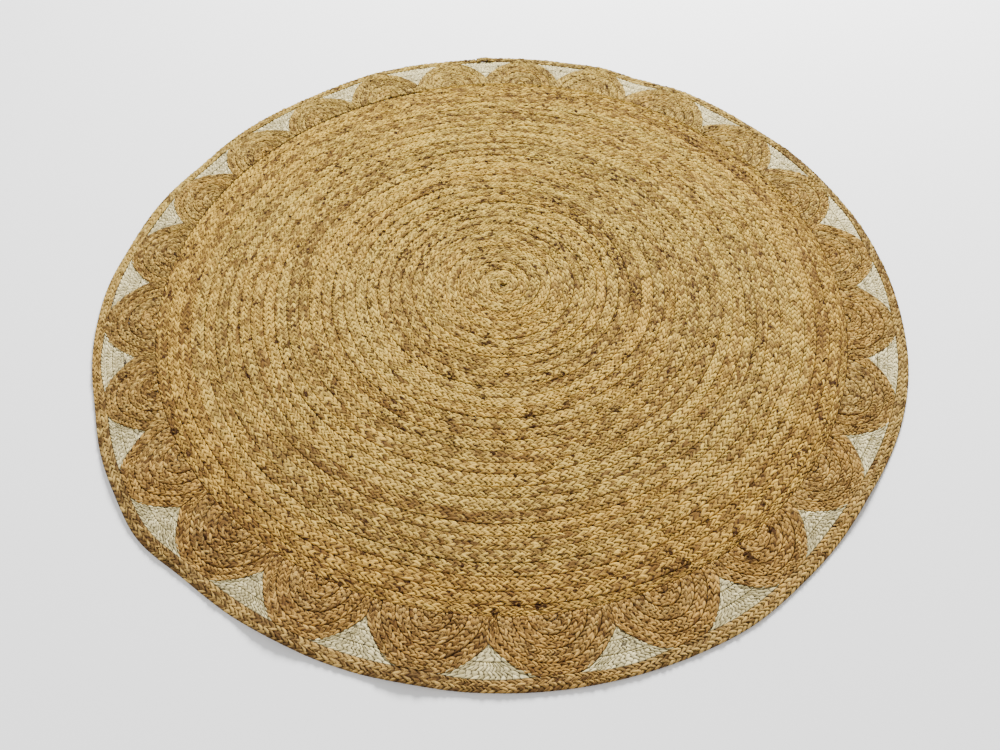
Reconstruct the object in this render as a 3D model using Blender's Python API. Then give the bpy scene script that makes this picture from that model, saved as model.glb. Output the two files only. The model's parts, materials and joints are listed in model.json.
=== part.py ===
"""Round rug of flat jute plait: a spiral disc, coiled scallops, cotton gussets and a plait border.

Metres, +Z up. The rug lies flat on the plane z = 0 with the disc's heart at the origin.
Bearings are measured anticlockwise from +X, seen from above.
"""

import math

import bmesh
import bpy
import numpy as np

RUG_NAME = "round_jute_rug"

# Plait and seams
PLAIT_HEIGHT = 0.0090  # crest of a jute row above the floor
VALLEY_HEIGHT = 0.0060  # sewn groove between two rows
EDGE_HEIGHT = 0.0045  # where an outer row turns down to its side
COTTON_HEIGHT = 0.0080  # crest of a cotton row
SEAM = 0.0006  # gap that a sewn joint keeps between two pieces
BORDER_SEAM = 0.0010  # the same along the border, whose facets and its neighbours' are unlike

# Spiral disc
DISC_RADIUS = 0.645
DISC_ROWS = 30
DISC_STEPS = 48  # facets in one turn
HEART_ROWS = 0.5  # radius of the rolled start, in rows
TAPER_SHARE = 0.2  # the last turn is cut off where it is thinner than this share of a row

# Scallops and gussets
SCALLOP_LINES = 9  # crest and groove lines from the heart to the rim: four and a half rows
FLANK_STEPS = 3  # facets from the joint with the next scallop to the border
CROWN_STEPS = 1  # facets of a half crown, the stretch that touches the border
SQUEEZE = 0.004  # how far a scallop's outline would reach into the border if it were not pressed flat
FLANK_START = 0.5  # angle from the crown at which a scallop's flank begins
FLANK_FLAT = 0.0032  # how far the flank's middle lies inside the ellipse, as the flanks are nearly straight
GUSSET_COLUMNS = 2

# Border
BORDER_STEPS = 144
BORDER_BAND = 0.020  # width of the border where it passes a scallop

# One row for each of the joints between scallops, round the rug.
# bearing: of the joint, in degrees. tip: radius where the two scallops part.
# band: width of the border there. rim: outer radius there. next_rim: outer radius at the scallop after it.
JOINTS = (
    dict(bearing=14.1, tip=0.669, band=0.016, rim=0.753, next_rim=0.752),
    dict(bearing=30.0, tip=0.667, band=0.023, rim=0.753, next_rim=0.750),
    dict(bearing=46.3, tip=0.663, band=0.024, rim=0.751, next_rim=0.754),
    dict(bearing=63.5, tip=0.662, band=0.024, rim=0.745, next_rim=0.754),
    dict(bearing=78.4, tip=0.671, band=0.024, rim=0.753, next_rim=0.754),
    dict(bearing=93.0, tip=0.671, band=0.018, rim=0.754, next_rim=0.753),
    dict(bearing=107.2, tip=0.669, band=0.021, rim=0.756, next_rim=0.757),
    dict(bearing=121.4, tip=0.670, band=0.022, rim=0.751, next_rim=0.748),
    dict(bearing=135.8, tip=0.667, band=0.022, rim=0.750, next_rim=0.749),
    dict(bearing=151.0, tip=0.661, band=0.019, rim=0.743, next_rim=0.746),
    dict(bearing=165.4, tip=0.671, band=0.023, rim=0.750, next_rim=0.751),
    dict(bearing=179.6, tip=0.676, band=0.021, rim=0.756, next_rim=0.756),
    dict(bearing=194.9, tip=0.679, band=0.016, rim=0.755, next_rim=0.753),
    dict(bearing=208.9, tip=0.682, band=0.021, rim=0.759, next_rim=0.762),
    dict(bearing=222.9, tip=0.690, band=0.020, rim=0.767, next_rim=0.755),
    dict(bearing=238.2, tip=0.676, band=0.021, rim=0.753, next_rim=0.752),
    dict(bearing=253.0, tip=0.672, band=0.020, rim=0.751, next_rim=0.750),
    dict(bearing=268.4, tip=0.684, band=0.016, rim=0.750, next_rim=0.750),
    dict(bearing=283.9, tip=0.678, band=0.015, rim=0.750, next_rim=0.750),
    dict(bearing=298.8, tip=0.667, band=0.020, rim=0.750, next_rim=0.744),
    dict(bearing=314.2, tip=0.663, band=0.022, rim=0.741, next_rim=0.738),
    dict(bearing=329.3, tip=0.666, band=0.020, rim=0.743, next_rim=0.748),
    dict(bearing=344.7, tip=0.678, band=0.019, rim=0.751, next_rim=0.751),
    dict(bearing=359.4, tip=0.679, band=0.018, rim=0.752, next_rim=0.752),
)

# Stretches where the rim stands a little off the floor: middle bearing, half width, rise at the rim.
LIFTS = (
    dict(bearing=160.0, half=9.0, rise=0.0030),
    dict(bearing=216.0, half=9.0, rise=0.0035),
    dict(bearing=244.0, half=7.0, rise=0.0060),
    dict(bearing=260.0, half=6.0, rise=0.0055),
    dict(bearing=321.0, half=8.0, rise=0.0060),
)
LIFT_START = 0.668  # radius inside which the rug lies flat
LIFT_FULL = 0.748  # radius at which a lift has its full rise

# Colour, roughness
JUTE = ((0.50, 0.34, 0.13), 0.86)
BROWN_JUTE = ((0.38, 0.23, 0.085), 0.88)
BORDER_JUTE = ((0.45, 0.29, 0.105), 0.86)
COTTON = ((0.62, 0.57, 0.47), 0.90)


def clear_scene():
    for obj in list(bpy.data.objects):
        bpy.data.objects.remove(obj, do_unlink=True)


def cloth_material(name, colour, roughness):
    material = bpy.data.materials.new(name)
    material.use_nodes = True
    shader = material.node_tree.nodes["Principled BSDF"]
    shader.inputs["Base Color"].default_value = (*colour, 1.0)
    shader.inputs["Roughness"].default_value = roughness
    shader.inputs["Metallic"].default_value = 0.0
    material.diffuse_color = (*colour, 1.0)
    return material


def round_table(pairs):
    """A smooth closed curve through (bearing, value) pairs, as a function of bearings in degrees."""
    bearings, values = np.array(sorted(pairs)).T
    bearings = np.concatenate([bearings[-2:] - 360, bearings, bearings[:2] + 360])
    values = np.concatenate([values[-2:], values, values[:2]])
    slopes = np.gradient(values, bearings)

    def value_at(bearing):
        bearing = np.mod(bearing, 360)
        after = np.clip(np.searchsorted(bearings, bearing), 1, len(bearings) - 1)
        width = bearings[after] - bearings[after - 1]
        t = (bearing - bearings[after - 1]) / width
        before = (1 + 2 * t) * (1 - t) ** 2 * values[after - 1] + t * (1 - t) ** 2 * width * slopes[after - 1]
        beyond = t**2 * (3 - 2 * t) * values[after] - t**2 * (1 - t) * width * slopes[after]
        return before + beyond

    return value_at


def middle_bearings():
    """The bearing of each scallop, halfway between its two joints."""
    bearings = [row["bearing"] for row in JOINTS]
    return [(a + (b - a) % 360 / 2) % 360 for a, b in zip(bearings, bearings[1:] + bearings[:1])]


rim_radius = round_table(
    [(row["bearing"], row["rim"]) for row in JOINTS]
    + [(middle, row["next_rim"]) for middle, row in zip(middle_bearings(), JOINTS)]
)
band_width = round_table(
    [(row["bearing"], row["band"]) for row in JOINTS]
    + [(middle, BORDER_BAND) for middle in middle_bearings()]
)


def border_inside(bearing):
    return rim_radius(bearing) - band_width(bearing)


def lift_at(x, y):
    """How far the rug stands off the floor at a place: soft humps that grow towards the rim."""
    bearing = np.degrees(np.arctan2(y, x))
    climb = np.clip((np.hypot(x, y) - LIFT_START) / (LIFT_FULL - LIFT_START), 0, 1)
    climb = climb * climb * (3 - 2 * climb)
    total = np.zeros_like(climb)
    for lift in LIFTS:
        away = np.abs((bearing - lift["bearing"] + 180) % 360 - 180) / lift["half"]
        total += lift["rise"] * climb * np.cos(np.clip(away, 0, 1) * math.pi / 2) ** 2
    return total


def add_solid(name, corners, faces, material, collection):
    """One closed mesh object of the given corners and faces, its normals turned outwards."""
    mesh = bpy.data.meshes.new(name)
    mesh.from_pydata([tuple(corner) for corner in corners], [], faces)
    work = bmesh.new()
    work.from_mesh(mesh)
    bmesh.ops.recalc_face_normals(work, faces=work.faces)
    work.to_mesh(mesh)
    work.free()
    mesh.materials.append(material)
    mesh.shade_smooth()
    obj = bpy.data.objects.new(name, mesh)
    collection.objects.link(obj)
    return obj


def lie_on_floor(plan, height):
    """Corners at the given heights above the rug's own underside, which follows the lifts."""
    plan = np.asarray(plan)
    return np.column_stack([plan, lift_at(plan[:, 0], plan[:, 1]) + np.asarray(height)])


def walled(top_corners, top_faces, boundary):
    """Corners and faces of a solid: the top, a wall under its boundary and an underside."""
    under = np.array(top_corners)[boundary]
    under[:, 2] = lift_at(under[:, 0], under[:, 1])
    first = len(top_corners)
    count = len(boundary)
    walls = [
        (boundary[i], boundary[(i + 1) % count], first + (i + 1) % count, first + i)
        for i in range(count)
    ]
    underside = [tuple(range(first, first + count))]
    return np.vstack([top_corners, under]), top_faces + walls + underside


def turned_place(radius, angle):
    return radius * math.cos(angle), radius * math.sin(angle)


def disc_shape():
    """The spiral disc: a groove line and a crest line wind out from a rolled start.

    The last turn runs out against a round edge, as the end of the plait is tapered and sewn down.
    """
    row = DISC_RADIUS / DISC_ROWS
    turns = DISC_ROWS - HEART_ROWS
    last = round(turns * DISC_STEPS)
    cut = DISC_RADIUS - TAPER_SHARE * row
    plan = [(0.0, 0.0)]
    height = [PLAIT_HEIGHT]
    groove = []
    crest = []
    for step in range(last + DISC_STEPS + 1):
        angle = 2 * math.pi * step / DISC_STEPS
        inner = row * (HEART_ROWS + step / DISC_STEPS)
        if step > last:
            groove.append(groove[step - DISC_STEPS] if inner - row > cut else len(plan))
            if inner - row > cut:
                continue
        else:
            groove.append(len(plan))
        at_edge = inner > cut
        plan.append(turned_place(DISC_RADIUS if at_edge else inner, angle))
        height.append(EDGE_HEIGHT if at_edge else VALLEY_HEIGHT)
        if at_edge:
            continue
        outer = min(inner + row, DISC_RADIUS)
        crest.append(len(plan))
        plan.append(turned_place((inner + outer) / 2, angle))
        height.append(PLAIT_HEIGHT)

    faces = [(0, groove[i], groove[i + 1]) for i in range(DISC_STEPS - 1)]
    faces += [
        (groove[DISC_STEPS - 1], groove[DISC_STEPS], crest[0]),
        (groove[DISC_STEPS - 1], crest[0], groove[0]),
        (groove[DISC_STEPS - 1], groove[0], 0),
    ]
    for i in range(len(crest)):
        after = min(i + 1, len(crest) - 1)
        outside = i + DISC_STEPS
        if after == i:
            faces.append((groove[i], groove[i + 1], crest[i]))
            faces.append((crest[i], groove[i + 1], groove[outside]))
        else:
            faces.append((groove[i], groove[i + 1], crest[after], crest[i]))
            faces.append((crest[i], crest[after], groove[outside + 1], groove[outside]))
    edge = groove[len(crest) : len(crest) + DISC_STEPS]
    return walled(lie_on_floor(plan, height), faces, edge)


def scallop_plan(index):
    """Measures of one scallop: bearing and depth, and for each side half angle, half width and joint angle."""
    before = JOINTS[index]
    after = JOINTS[(index + 1) % len(JOINTS)]
    middle = middle_bearings()[index]
    heart = DISC_RADIUS + SEAM
    depth = float(border_inside(middle)) + SQUEEZE - heart
    sides = {}
    for side, joint in ((-1, before), (1, after)):
        half = math.radians(abs((joint["bearing"] - middle + 180) % 360 - 180))
        across = joint["tip"] * math.sin(half)
        along = joint["tip"] * math.cos(half) - heart
        joint_angle = math.acos(along / depth)
        sides[side] = (half, across / math.sin(joint_angle), joint_angle)
    return dict(bearing=math.radians(middle), heart=heart, depth=depth, sides=sides)


def ring_place(scallop, side, share, t, grow):
    """Radius and bearing offset of a place on a row: half an ellipse round the heart, with flattened flanks."""
    half, width, joint_angle = scallop["sides"][side]
    down = min(max((t - FLANK_START) / (joint_angle - FLANK_START), 0), 1)
    grow -= FLANK_FLAT * share**3 * math.sin(math.pi * down)
    across = (width * share + grow) * math.sin(t)
    along = (scallop["depth"] * share + grow) * math.cos(t) + scallop["heart"]
    return math.hypot(across, along), math.atan2(across, along)


def last_inside(test, start, stop):
    """The last value between start and stop that passes the test, by halving."""
    for _ in range(40):
        middle = (start + stop) / 2
        if test(middle):
            start = middle
        else:
            stop = middle
    return start


def ring_end(scallop, side, share, grow=0.0, joint_gap=SEAM / 2):
    """Where a row ends: at the disc's edge or at the joint with the next scallop."""

    def inside(t):
        radius, offset = ring_place(scallop, side, share, t, grow)
        room = scallop["sides"][side][0] - joint_gap / radius
        return radius >= scallop["heart"] - 1e-9 and offset <= room

    return last_inside(inside, 0.0, 0.6 * math.pi)


def crown_end(scallop, side, grow):
    """Where a scallop's outline leaves the border."""

    def pressed(t):
        radius, offset = ring_place(scallop, side, 1.0, t, grow)
        return radius > border_inside(math.degrees(scallop["bearing"] + side * offset)) - BORDER_SEAM

    return last_inside(pressed, 0.0, 0.5 * math.pi)


def outline_steps(scallop, side, grow=0.0, joint_gap=SEAM / 2):
    """Angles on a scallop's outline, from its crown to its joint."""
    crown = crown_end(scallop, side, grow)
    end = ring_end(scallop, side, 1.0, grow, joint_gap)
    flank = [crown + (end - crown) * i / FLANK_STEPS for i in range(FLANK_STEPS + 1)]
    return [crown * i / CROWN_STEPS for i in range(CROWN_STEPS)] + flank


def placed(scallop, side, radius, offset):
    return turned_place(radius, scallop["bearing"] + side * offset)


def scallop_shape(index):
    """Half rows coiled round a heart on the disc's edge, pressed flat where they meet the border.

    The outermost row runs down the joint to the disc, so each side has a foot where the two meet.
    """
    scallop = scallop_plan(index)
    heart = scallop["heart"]
    half_count = CROWN_STEPS + FLANK_STEPS
    outline = {side: outline_steps(scallop, side) for side in (-1, 1)}
    foot = {side: half - SEAM / 2 / heart for side, (half, *_) in scallop["sides"].items()}
    plan = [turned_place(heart, scallop["bearing"])]
    height = [PLAIT_HEIGHT]
    rings = []
    groove_end = {}
    for line in range(1, SCALLOP_LINES + 1):
        share = line / SCALLOP_LINES
        ring = []
        for step in range(-half_count, half_count + 1):
            side = 1 if step >= 0 else -1
            steps = outline[side]
            t = steps[abs(step)] / steps[-1] * ring_end(scallop, side, share)
            radius, offset = ring_place(scallop, side, share, t, 0.0)
            if line == SCALLOP_LINES - 1 and abs(step) == half_count:
                radius, offset = heart, (groove_end[side] + foot[side]) / 2
            elif line < SCALLOP_LINES and abs(step) == half_count:
                groove_end[side] = offset
            bearing = math.degrees(scallop["bearing"] + side * offset)
            radius = min(radius, float(border_inside(bearing)) - BORDER_SEAM)
            ring.append(len(plan))
            plan.append(placed(scallop, side, radius, offset))
            if line == SCALLOP_LINES:
                height.append(EDGE_HEIGHT)
            else:
                height.append(VALLEY_HEIGHT if line % 2 else PLAIT_HEIGHT)
        rings.append(ring)
    count = 2 * half_count
    faces = [(0, rings[0][i], rings[0][i + 1]) for i in range(count)]
    for near, far in zip(rings, rings[1:]):
        faces += [(near[i], far[i], far[i + 1], near[i + 1]) for i in range(count)]
    corners = {}
    for side, end in ((-1, 0), (1, -1)):
        corners[side] = len(plan)
        plan.append(placed(scallop, side, heart, foot[side]))
        height.append(EDGE_HEIGHT)
        faces.append((rings[-2][end], corners[side], rings[-1][end]))
    before = [ring[0] for ring in rings[:-1]] + [corners[-1]]
    after = [corners[1]] + [ring[-1] for ring in rings[-2::-1]]
    boundary = [0] + before + rings[-1] + after
    return walled(lie_on_floor(plan, height), faces, boundary)


def gusset_side(index, side):
    """Places along a gusset's flank, from its tip to the border, halfway points included."""
    scallop = scallop_plan(index)
    steps = outline_steps(scallop, side, SEAM, 0.0)[CROWN_STEPS:][::-1]
    corners = []
    for t in steps:
        radius, offset = ring_place(scallop, side, 1.0, t, SEAM)
        corners.append(np.array(placed(scallop, side, radius, offset)))
    places = [corners[0]]
    for near, far in zip(corners, corners[1:]):
        places += [(near + far) / 2, far]
    return places


def gusset_shape(index):
    """Cotton rows laid side by side between two scallops and the border."""
    before = gusset_side(index - 1, 1)
    after = gusset_side(index, -1)
    levels = len(before)
    plan = [(before[0] + after[0]) / 2]
    height = [EDGE_HEIGHT]
    rows = []
    for level in range(1, levels):
        row = []
        for column in range(GUSSET_COLUMNS + 1):
            share = column / GUSSET_COLUMNS
            place = before[level] * (1 - share) + after[level] * share
            if level == levels - 1:
                bearing = math.degrees(math.atan2(place[1], place[0]))
                place = place / np.hypot(*place) * (float(border_inside(bearing)) - BORDER_SEAM)
            row.append(len(plan))
            plan.append(place)
            height.append(EDGE_HEIGHT if level == levels - 1 else (VALLEY_HEIGHT, COTTON_HEIGHT)[level % 2])
        rows.append(row)
    faces = [(0, rows[0][i], rows[0][i + 1]) for i in range(GUSSET_COLUMNS)]
    for near, far in zip(rows, rows[1:]):
        faces += [(near[i], far[i], far[i + 1], near[i + 1]) for i in range(GUSSET_COLUMNS)]
    boundary = [0] + [row[0] for row in rows[:-1]] + rows[-1] + [row[-1] for row in rows[-2::-1]]
    return walled(lie_on_floor(plan, height), faces, boundary)


def border_shape():
    """One plait sewn round everything, carried along the uneven rim."""
    section = (  # share of the width from the inside, height
        (0.0, 0.0),
        (0.0, EDGE_HEIGHT),
        (0.5, PLAIT_HEIGHT),
        (1.0, EDGE_HEIGHT),
        (1.0, 0.0),
    )
    plan = []
    height = []
    for step in range(BORDER_STEPS):
        bearing = 360 * step / BORDER_STEPS
        inside = float(border_inside(bearing))
        outside = float(rim_radius(bearing))
        for share, rise in section:
            plan.append(turned_place(inside + share * (outside - inside), math.radians(bearing)))
            height.append(rise)
    count = len(section)
    faces = []
    for step in range(BORDER_STEPS):
        here = step * count
        there = (step + 1) % BORDER_STEPS * count
        for i in range(count):
            j = (i + 1) % count
            faces.append((here + i, here + j, there + j, there + i))
    return lie_on_floor(plan, height), faces


def build():
    clear_scene()
    collection = bpy.data.collections.new(RUG_NAME)
    bpy.context.scene.collection.children.link(collection)
    jute = cloth_material("jute_plait", *JUTE)
    brown = cloth_material("brown_jute_plait", *BROWN_JUTE)
    border = cloth_material("border_plait", *BORDER_JUTE)
    cotton = cloth_material("cotton_plait", *COTTON)
    add_solid("disc", *disc_shape(), jute, collection)
    for index in range(len(JOINTS)):
        add_solid(f"scallop_{index + 1:02d}", *scallop_shape(index), brown, collection)
        add_solid(f"gusset_{index + 1:02d}", *gusset_shape(index), cotton, collection)
    add_solid("border", *border_shape(), border, collection)


build()
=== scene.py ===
"""Round rug of plaited jute: the look of every piece, and a plain stage to see it on.

Metres, +Z up. Outline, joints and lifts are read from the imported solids. Bearings run
anticlockwise from +X, seen from above. The plaits are flat, of three strands, and lie in pairs:
a row of the disc, a scallop, a gusset or the border is two plaits side by side.
"""

import json
import math

import bpy
import numpy as np
from mathutils import Matrix, Vector

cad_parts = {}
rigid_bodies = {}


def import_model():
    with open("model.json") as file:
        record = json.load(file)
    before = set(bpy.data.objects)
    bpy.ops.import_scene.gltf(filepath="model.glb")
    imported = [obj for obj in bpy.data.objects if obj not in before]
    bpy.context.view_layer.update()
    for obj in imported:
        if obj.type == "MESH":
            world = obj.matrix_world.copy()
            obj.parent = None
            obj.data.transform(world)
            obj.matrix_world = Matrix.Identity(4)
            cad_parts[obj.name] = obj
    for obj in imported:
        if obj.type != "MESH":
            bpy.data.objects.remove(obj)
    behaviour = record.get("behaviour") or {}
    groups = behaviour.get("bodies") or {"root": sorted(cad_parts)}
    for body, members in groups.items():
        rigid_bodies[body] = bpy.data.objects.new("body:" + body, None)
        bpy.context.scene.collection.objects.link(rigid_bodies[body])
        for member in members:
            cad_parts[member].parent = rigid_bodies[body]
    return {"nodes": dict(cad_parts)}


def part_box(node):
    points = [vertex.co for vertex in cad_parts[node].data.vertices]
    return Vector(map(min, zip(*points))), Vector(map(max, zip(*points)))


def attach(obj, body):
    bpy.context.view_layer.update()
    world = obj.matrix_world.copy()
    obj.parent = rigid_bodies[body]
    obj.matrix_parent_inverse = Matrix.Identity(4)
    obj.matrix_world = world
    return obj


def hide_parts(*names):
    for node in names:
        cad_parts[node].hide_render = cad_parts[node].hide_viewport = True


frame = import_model()

bl_info = {
    "name": "Round Plaited Rug",
    "version": (1, 0, 0),
    "blender": (4, 5, 0),
    "location": "View3D > Sidebar > Rug",
    "description": "Builds a round rug of plaited jute with scallops, cotton gussets and a border",
    "category": "Add Mesh",
}

BODY = "root"

# Seams and outline
SEAM = 0.0001  # gap between two pieces of the solids
PRESSED = 0.0003  # how far plaits are sewn into each other
SQUEEZE = 0.004  # how far the border presses a scallop flat
FLANK_START = 0.5  # angle from the crown where a flank begins
FLANK_FLAT = 0.0032  # how far the flank's middle lies inside the ellipse
LIFT_START = 0.668  # radius inside which the rug lies flat
LIFT_FULL = 0.748  # radius of the full rise
FINER = 8  # places on a round curve for each bearing of the solids
SEWN_TIGHT = 1.06  # flat plait to sewn plait, in width and in length

# Grid of one plait
ROWS = 4  # grid rows inside one pitch
PLAIT_COLUMNS = np.array([-1.0, -0.65, -0.3, 0.0, 0.3, 0.65, 1.0])  # in half widths
CELLS = len(PLAIT_COLUMNS) - 1
LANE = CELLS // 2  # cells from a plait's middle to its edge
CROWN = 0.0004  # how much higher a pair is in its middle
END_PITCHES = 3.0  # pitches over which strands turn square at an end
FOOT_SHARE = 0.5  # width of the underside, as a share of the plait's

# Shape of a lobe, and how far chance changes it
LOBE_RISE = ((0.0, 0.85), (0.3, 0.96), (0.65, 1.0), (1.0, 0.66))  # share of half width, height
LOBE_WIDTH = ((0.0, 0.50), (0.3, 0.80), (0.65, 1.0), (1.0, 0.58))  # share of half width, width
LOBE_BACK = 2.4  # power that flattens a lobe's back
LOBE_ROUND = 0.7  # power that rounds its shoulders
EDGE_HUMP = 0.40  # height on the strip's outer lines, and the share of a lobe on top
LOOSE = 0.14  # pitches that one lobe comes early or late
WIDTH_VARIES = 0.08
HEIGHT_VARIES = 0.20
TILT_VARIES = 0.2
SIDE_VARIES = 0.2
SWAY = 0.2  # how far a plait's middle sways, in lane widths

# Slow changes along a plait: spread, and pitches from one value to the next
LANE_EARLY = (0.22, 8.0)  # pitches that the lobes of a lane come early or late
ROW_SHIFT = (0.5, 6.0)  # pitches that a grid row is moved along
WANDER = (0.035, 5.0)  # share of the strip's width that its middle strays
BED = (0.035, 9.0)  # share of the height
FLECK_RUN = (1.0, 4.0)  # flecks come in runs where this is high
LANE_TONE = (1.0, 7.0)
YARN_TONE = (0.8, 60.0)
YARN_HUE = (0.6, 25.0)
SPIRAL_STRAY = (0.0008, 4.0)  # how far the line between two rows strays
RIDGE_WAVES = (0.22, 30.0)

# Spiral disc
DISC_ROWS = 30
DISC_PIECES = 4
DISC_FLECKS = 0.09  # share of lobes with a fleck
HEART_ANGLE = -2.0 * math.pi  # where the rolled start begins
TAPER_SHARE = 0.2  # share of a row where the thinning end is cut off
SPIRAL_STEPS = 24001
GROOVE = 0.0028  # extra depth between rows that stand out
BROWN_RING = 0.565  # radius from which the disc's yarn turns browner

# Scallops
SCALLOPS = 24
SCALLOP_LINES = 9  # plaits from the heart to the rim
SCALLOP_ROWS = ((0, 1), (1, 3), (3, 5), (5, 7), (7, 9))  # lines beside each row
SCALLOP_GROOVE = 0.0015  # extra depth between its plaits
SCALLOP_FLECKS = 0.04
SCALLOP_SHADE_SIDES = ((215, -0.5),)  # bearing, and the tone's change towards it: painted shade on the near left

# Gussets
GUSSET_ROW = 0.0200
GUSSET_REACH = 9  # degrees on either side of its middle
COTTON_CREASE = 0.8  # share of the jute's crease
COTTON_SLANT = 0.5
COTTON_FLECKS = 0.01
# Painted light and shade on the cotton: lighter on the far right, towards the light, and darker on
# the near left
COTTON_LIGHT_SIDES = ((20, 0.9), (225, -0.9))

# Border
BORDER_START = 93.6  # bearing where its two ends meet
BORDER_LAP = 0.012  # length that the end runs over the start
LAP_RUN = 0.022  # length over which the ends thin and climb
END_HEIGHTS = (0.55, 1.0, 1.0, 0.8, 0.62)  # shares of the height, from the start to the end
END_CLIMB = (0.0, 0.0, 0.0048, 0.0056)  # how high the end's underside lies
RIM_ROUND = 0.0030  # how far the rug's outer edge is rounded down
BORDER_FLECKS = 0.07
# Painted shade at the border's near left, where the lifted rim turns away from the light: bearing,
# and the tone's change towards it
BORDER_SHADE_SIDES = ((247, -2.1),)

# Random seeds, of which a scallop and a gusset have ten each from theirs on
SEEDS = dict(border=3, spiral=5, disc=7, ridges=21, scallop=100, gusset=500)

# Share of flecked lobes by radius, compared with the rug's mean
FLECK_RADII = (0.0, 0.12, 0.24, 0.34, 0.44, 0.56, 0.63, 0.70)
FLECK_SHARES = (1.0, 1.2, 1.7, 1.6, 0.7, 0.5, 1.3, 0.5)
RUN_GAIN = 3.5  # how many times as common again in a run

# Dark marks, of stained yarn and at 95.9° on the border's lapped end: bearing in degrees, radius,
# reach and depth from 0 to 1
DARK_MARKS = (
    (263, 0.640, 0.008, 0.9), (269, 0.639, 0.009, 1.0), (272, 0.627, 0.007, 0.9),
    (275, 0.632, 0.010, 0.9), (293, 0.628, 0.012, 0.9), (296, 0.629, 0.010, 0.8),
    (295, 0.602, 0.008, 0.8), (304, 0.667, 0.012, 1.0), (309, 0.659, 0.010, 0.8),
    (305, 0.626, 0.008, 0.8), (311, 0.625, 0.010, 0.8), (211, 0.640, 0.011, 1.0),
    (199, 0.648, 0.008, 0.7), (198, 0.700, 0.014, 0.8), (259, 0.146, 0.012, 0.8),
    (275, 0.169, 0.010, 0.6), (247, 0.235, 0.014, 0.8), (260, 0.244, 0.009, 0.8),
    (291, 0.227, 0.009, 0.7), (297, 0.238, 0.009, 0.7), (279, 0.303, 0.012, 0.8),
    (276, 0.733, 0.010, 0.9), (95.9, 0.744, 0.015, 0.9), (338, 0.629, 0.008, 0.8),
    (330, 0.627, 0.010, 1.0), (324, 0.622, 0.010, 0.9), (321, 0.630, 0.007, 0.7),
    (311, 0.626, 0.009, 0.8), (337, 0.670, 0.007, 0.9),
)

# Yarns: Crease is the colour of the painted shade in the creases, along the plaits' middles and
# between them
JUTE = dict(Crease=(0.040, 0.017, 0.007), Fleck=(0.030, 0.009, 0.002), Warm=(1.0, 0.80, 0.52))
COTTON = dict(Crease=(0.055, 0.042, 0.026), Fleck=(0.04, 0.03, 0.022), Warm=(1.0, 0.97, 0.90))
NEAR_SHADE_TINT = (1.0, 0.95, 1.16)  # painted light: jute is tinted redder on the near side, which lies in shade
FAR_LIGHT_TINT = (1.0, 1.04, 0.92)  # and yellower on the far side, towards the key light
JUTE_BUMP = 0.0007
COTTON_BUMP = 0.0005
FINE_FIBRES = (130.0, 1900.0, 1.0)  # changes a metre along and across the strands
COARSE_FIBRES = (60.0, 420.0, 1.0)
PATCHES = 5.0  # warmer patches a metre
SPECKS = 150.0  # cells of a fleck a metre
YARN_TWIST = 0.004  # drift of the fibres along the strand in a pitch

# Bake map
CELL_MARGIN = 0.02
TOP_BAND = (0.36, 0.33)  # middle and half height of the top in a cell
LOW_BAND = (0.86, 0.07)  # the same for the walls and the underside

# Stage, with the camera that the photograph's perspective gives
FRAME_WIDTH = 1000
FOCAL_PIXELS = 783.0
SENSOR_WIDTH = 36.0
CAMERA_PLACE = (-0.0027, -1.0196, 1.129)
CAMERA_PITCH = 0.6218
CAMERA_ROLL = -0.0022
FLOOR_HALF = 9.0
FLOOR_HEIGHT = -0.0002
# Lamps: name, place, width and share of the key's power
LAMPS = (("key", (0.8, 3.0, 2.6), 1.6, 1.0), ("fill", (-2.4, -1.6, 2.6), 3.0, 0.08))


# ---- settings


def length_setting(name, text, size):
    return bpy.props.FloatProperty(name=name, description=text, default=size, unit="LENGTH")


def colour_setting(name, text, value):
    return bpy.props.FloatVectorProperty(
        name=name, description=text, subtype="COLOR", default=value
    )


class RugPlaitSettings(bpy.types.PropertyGroup):
    """Sizes of the plaits"""

    disc_pitch: length_setting(
        "Disc Pitch", "Length from a lobe to the next one of its lane, in the disc", 0.0116
    )
    scallop_pitch: length_setting("Scallop Pitch", "The same in the scallops", 0.0093)
    gusset_pitch: length_setting("Cotton Pitch", "The same in the cotton gussets", 0.0070)
    border_pitch: length_setting("Border Pitch", "The same in the border", 0.0105)
    jute_crest: length_setting("Jute Height", "Crest of a jute plait above its underside", 0.0092)
    cotton_crest: length_setting("Cotton Height", "The same for a cotton plait", 0.0080)
    crease: length_setting("Crease Depth", "Depth of the creases between the lobes", 0.0032)
    slant: bpy.props.FloatProperty(
        name="Slant",
        description="Pitches from the middle of a strand to its plait's edge",
        default=0.62,
        min=0.1,
        max=1.2,
    )


class RugColourSettings(bpy.types.PropertyGroup):
    """Colours of the yarns"""

    straw: colour_setting("Straw", "Light fibres of the disc", (0.64, 0.438, 0.078))
    straw_dark: colour_setting("Dark Straw", "Dark fibres of the disc", (0.150, 0.083, 0.018))
    brown: colour_setting("Brown", "Light fibres of the scallops", (0.53, 0.352, 0.080))
    brown_dark: colour_setting("Dark Brown", "Dark fibres of the scallops", (0.118, 0.065, 0.015))
    golden: colour_setting("Golden", "Light fibres of the border", (0.50, 0.340, 0.080))
    golden_dark: colour_setting("Dark Golden", "Dark fibres of the border", (0.10, 0.056, 0.014))
    cotton: colour_setting("Cotton", "Light fibres of the gussets", (0.82, 0.71, 0.375))
    cotton_dark: colour_setting("Dark Cotton", "Dark fibres of the gussets", (0.42, 0.35, 0.165))


class RugStageSettings(bpy.types.PropertyGroup):
    """Floor and light"""

    floor_colour: colour_setting("Floor", "Colour of the floor", (0.96, 0.96, 0.96))
    key_power: bpy.props.FloatProperty(
        name="Key Power", description="Light behind the rug", default=555.0, unit="POWER"
    )
    sky: bpy.props.FloatProperty(
        name="Sky", description="Strength of the even light from all sides", default=0.64, min=0.0
    )


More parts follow.
